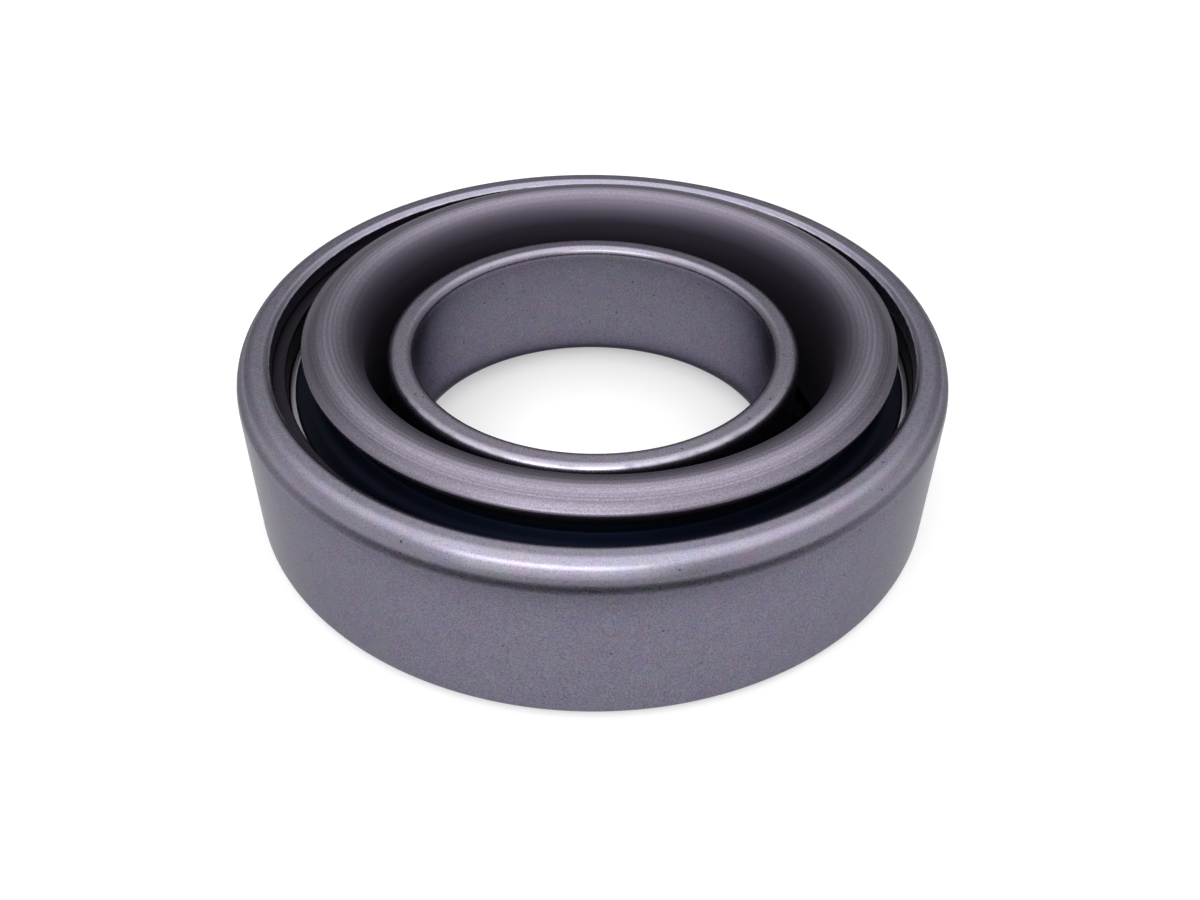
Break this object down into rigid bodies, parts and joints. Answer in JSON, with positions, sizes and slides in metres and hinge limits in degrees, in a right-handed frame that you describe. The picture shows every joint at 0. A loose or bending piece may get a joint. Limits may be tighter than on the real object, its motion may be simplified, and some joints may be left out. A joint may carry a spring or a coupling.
{
  "type": "clutch release bearing",
  "caption": "Self-centring clutch release bearing: drawn steel cover and flanged sleeve round a sealed thrust ball bearing with a rounded contact ring.",
  "frame": {"origin": "centre of the rear face of the sleeve's flange, on the bore's axis", "axes": "+Z along the bore towards the clutch; +X the way the floating bearing is off centre at rest"},
  "size_m": [0.068, 0.068, 0.0188],
  "materials": {
    "cover_steel": "matte, fine sand grain, zinc grey",
    "sleeve_steel": "matte, fine sand grain, zinc grey",
    "spring_steel": "satin, blued spring strip",
    "bearing_steel": "turned and ground",
    "ring_steel": "satin, faint turning lines",
    "case_steel": "bright pressed strip",
    "ball_steel": "polished",
    "cage_nylon": "moulded, natural",
    "seal_rubber": "moulded, dark blue-black"
  },
  "bodies": {
    "housing": {"outer_cover": "cover_steel", "inner_sleeve": "sleeve_steel"},
    "spring": {"wave_spring": "spring_steel"},
    "race": {"outer_race": "bearing_steel", "front_seal_case": "case_steel", "front_seal": "seal_rubber", "rear_seal_case": "case_steel", "rear_seal": "seal_rubber"},
    "contact_ring": {"contact_ring": "ring_steel"},
    "cage": {"cage": "cage_nylon"},
    "ball_01": {"ball_01": "ball_steel"},
    "ball_02": {"ball_02": "ball_steel"},
    "ball_03": {"ball_03": "ball_steel"},
    "ball_04": {"ball_04": "ball_steel"},
    "ball_05": {"ball_05": "ball_steel"},
    "ball_06": {"ball_06": "ball_steel"},
    "ball_07": {"ball_07": "ball_steel"},
    "ball_08": {"ball_08": "ball_steel"},
    "ball_09": {"ball_09": "ball_steel"},
    "ball_10": {"ball_10": "ball_steel"},
    "ball_11": {"ball_11": "ball_steel"},
    "ball_12": {"ball_12": "ball_steel"},
    "ball_13": {"ball_13": "ball_steel"},
    "ball_14": {"ball_14": "ball_steel"},
    "ball_15": {"ball_15": "ball_steel"},
    "ball_16": {"ball_16": "ball_steel"},
    "ball_17": {"ball_17": "ball_steel"},
    "ball_18": {"ball_18": "ball_steel"},
    "ball_19": {"ball_19": "ball_steel"},
    "ball_20": {"ball_20": "ball_steel"}
  },
  "joints": [
    {"name": "float_x", "type": "slide", "parent": "housing", "child": "spring", "axis": [1, 0, 0], "range_m": [-0.0012, 0]},
    {"name": "float_y", "type": "slide", "parent": "spring", "child": "race", "axis": [0, 1, 0], "range_m": [-0.0006, 0.0006]},
    {"name": "contact_ring_spin", "type": "hinge", "parent": "race", "child": "contact_ring", "pos_m": [0.0006, 0, 0.0077], "axis": [0, 0, 1], "continuous": true},
    {"name": "cage_orbit", "type": "hinge", "parent": "race", "child": "cage", "pos_m": [0.0006, 0, 0.0077], "axis": [0, 0, 1], "continuous": true},
    {"name": "ball_01_spin", "type": "hinge", "parent": "cage", "child": "ball_01", "pos_m": [0.02616, 0.00831, 0.0077], "axis": [0.6725, 0.2185, 0.7071], "continuous": true},
    {"name": "ball_02_spin", "type": "hinge", "parent": "cage", "child": "ball_02", "pos_m": [0.02234, 0.0158, 0.0077], "axis": [0.5721, 0.4156, 0.7071], "continuous": true},
    {"name": "ball_03_spin", "type": "hinge", "parent": "cage", "child": "ball_03", "pos_m": [0.0164, 0.02174, 0.0077], "axis": [0.4156, 0.5721, 0.7071], "continuous": true},
    {"name": "ball_04_spin", "type": "hinge", "parent": "cage", "child": "ball_04", "pos_m": [0.00891, 0.02556, 0.0077], "axis": [0.2185, 0.6725, 0.7071], "continuous": true},
    {"name": "ball_05_spin", "type": "hinge", "parent": "cage", "child": "ball_05", "pos_m": [0.0006, 0.02688, 0.0077], "axis": [0, 0.7071, 0.7071], "continuous": true},
    {"name": "ball_06_spin", "type": "hinge", "parent": "cage", "child": "ball_06", "pos_m": [-0.00771, 0.02556, 0.0077], "axis": [-0.2185, 0.6725, 0.7071], "continuous": true},
    {"name": "ball_07_spin", "type": "hinge", "parent": "cage", "child": "ball_07", "pos_m": [-0.0152, 0.02174, 0.0077], "axis": [-0.4156, 0.5721, 0.7071], "continuous": true},
    {"name": "ball_08_spin", "type": "hinge", "parent": "cage", "child": "ball_08", "pos_m": [-0.02114, 0.0158, 0.0077], "axis": [-0.5721, 0.4156, 0.7071], "continuous": true},
    {"name": "ball_09_spin", "type": "hinge", "parent": "cage", "child": "ball_09", "pos_m": [-0.02496, 0.00831, 0.0077], "axis": [-0.6725, 0.2185, 0.7071], "continuous": true},
    {"name": "ball_10_spin", "type": "hinge", "parent": "cage", "child": "ball_10", "pos_m": [-0.02628, 0, 0.0077], "axis": [-0.7071, 0, 0.7071], "continuous": true},
    {"name": "ball_11_spin", "type": "hinge", "parent": "cage", "child": "ball_11", "pos_m": [-0.02496, -0.00831, 0.0077], "axis": [-0.6725, -0.2185, 0.7071], "continuous": true},
    {"name": "ball_12_spin", "type": "hinge", "parent": "cage", "child": "ball_12", "pos_m": [-0.02114, -0.0158, 0.0077], "axis": [-0.5721, -0.4156, 0.7071], "continuous": true},
    {"name": "ball_13_spin", "type": "hinge", "parent": "cage", "child": "ball_13", "pos_m": [-0.0152, -0.02174, 0.0077], "axis": [-0.4156, -0.5721, 0.7071], "continuous": true},
    {"name": "ball_14_spin", "type": "hinge", "parent": "cage", "child": "ball_14", "pos_m": [-0.00771, -0.02556, 0.0077], "axis": [-0.2185, -0.6725, 0.7071], "continuous": true},
    {"name": "ball_15_spin", "type": "hinge", "parent": "cage", "child": "ball_15", "pos_m": [0.0006, -0.02688, 0.0077], "axis": [0, -0.7071, 0.7071], "continuous": true},
    {"name": "ball_16_spin", "type": "hinge", "parent": "cage", "child": "ball_16", "pos_m": [0.00891, -0.02556, 0.0077], "axis": [0.2185, -0.6725, 0.7071], "continuous": true},
    {"name": "ball_17_spin", "type": "hinge", "parent": "cage", "child": "ball_17", "pos_m": [0.0164, -0.02174, 0.0077], "axis": [0.4156, -0.5721, 0.7071], "continuous": true},
    {"name": "ball_18_spin", "type": "hinge", "parent": "cage", "child": "ball_18", "pos_m": [0.02234, -0.0158, 0.0077], "axis": [0.5721, -0.4156, 0.7071], "continuous": true},
    {"name": "ball_19_spin", "type": "hinge", "parent": "cage", "child": "ball_19", "pos_m": [0.02616, -0.00831, 0.0077], "axis": [0.6725, -0.2185, 0.7071], "continuous": true},
    {"name": "ball_20_spin", "type": "hinge", "parent": "cage", "child": "ball_20", "pos_m": [0.02748, 0, 0.0077], "axis": [0.7071, 0, 0.7071], "continuous": true}
  ],
  "couplings": [
    {"joint": "cage_orbit", "follows": "contact_ring_spin", "ratio": 0.46346},
    {"joint": "ball_01_spin", "follows": "contact_ring_spin", "ratio": -4.8118},
    {"joint": "ball_02_spin", "follows": "contact_ring_spin", "ratio": -4.8118},
    {"joint": "ball_03_spin", "follows": "contact_ring_spin", "ratio": -4.8118},
    {"joint": "ball_04_spin", "follows": "contact_ring_spin", "ratio": -4.8118},
    {"joint": "ball_05_spin", "follows": "contact_ring_spin", "ratio": -4.8118},
    {"joint": "ball_06_spin", "follows": "contact_ring_spin", "ratio": -4.8118},
    {"joint": "ball_07_spin", "follows": "contact_ring_spin", "ratio": -4.8118},
    {"joint": "ball_08_spin", "follows": "contact_ring_spin", "ratio": -4.8118},
    {"joint": "ball_09_spin", "follows": "contact_ring_spin", "ratio": -4.8118},
    {"joint": "ball_10_spin", "follows": "contact_ring_spin", "ratio": -4.8118},
    {"joint": "ball_11_spin", "follows": "contact_ring_spin", "ratio": -4.8118},
    {"joint": "ball_12_spin", "follows": "contact_ring_spin", "ratio": -4.8118},
    {"joint": "ball_13_spin", "follows": "contact_ring_spin", "ratio": -4.8118},
    {"joint": "ball_14_spin", "follows": "contact_ring_spin", "ratio": -4.8118},
    {"joint": "ball_15_spin", "follows": "contact_ring_spin", "ratio": -4.8118},
    {"joint": "ball_16_spin", "follows": "contact_ring_spin", "ratio": -4.8118},
    {"joint": "ball_17_spin", "follows": "contact_ring_spin", "ratio": -4.8118},
    {"joint": "ball_18_spin", "follows": "contact_ring_spin", "ratio": -4.8118},
    {"joint": "ball_19_spin", "follows": "contact_ring_spin", "ratio": -4.8118},
    {"joint": "ball_20_spin", "follows": "contact_ring_spin", "ratio": -4.8118}
  ]
}
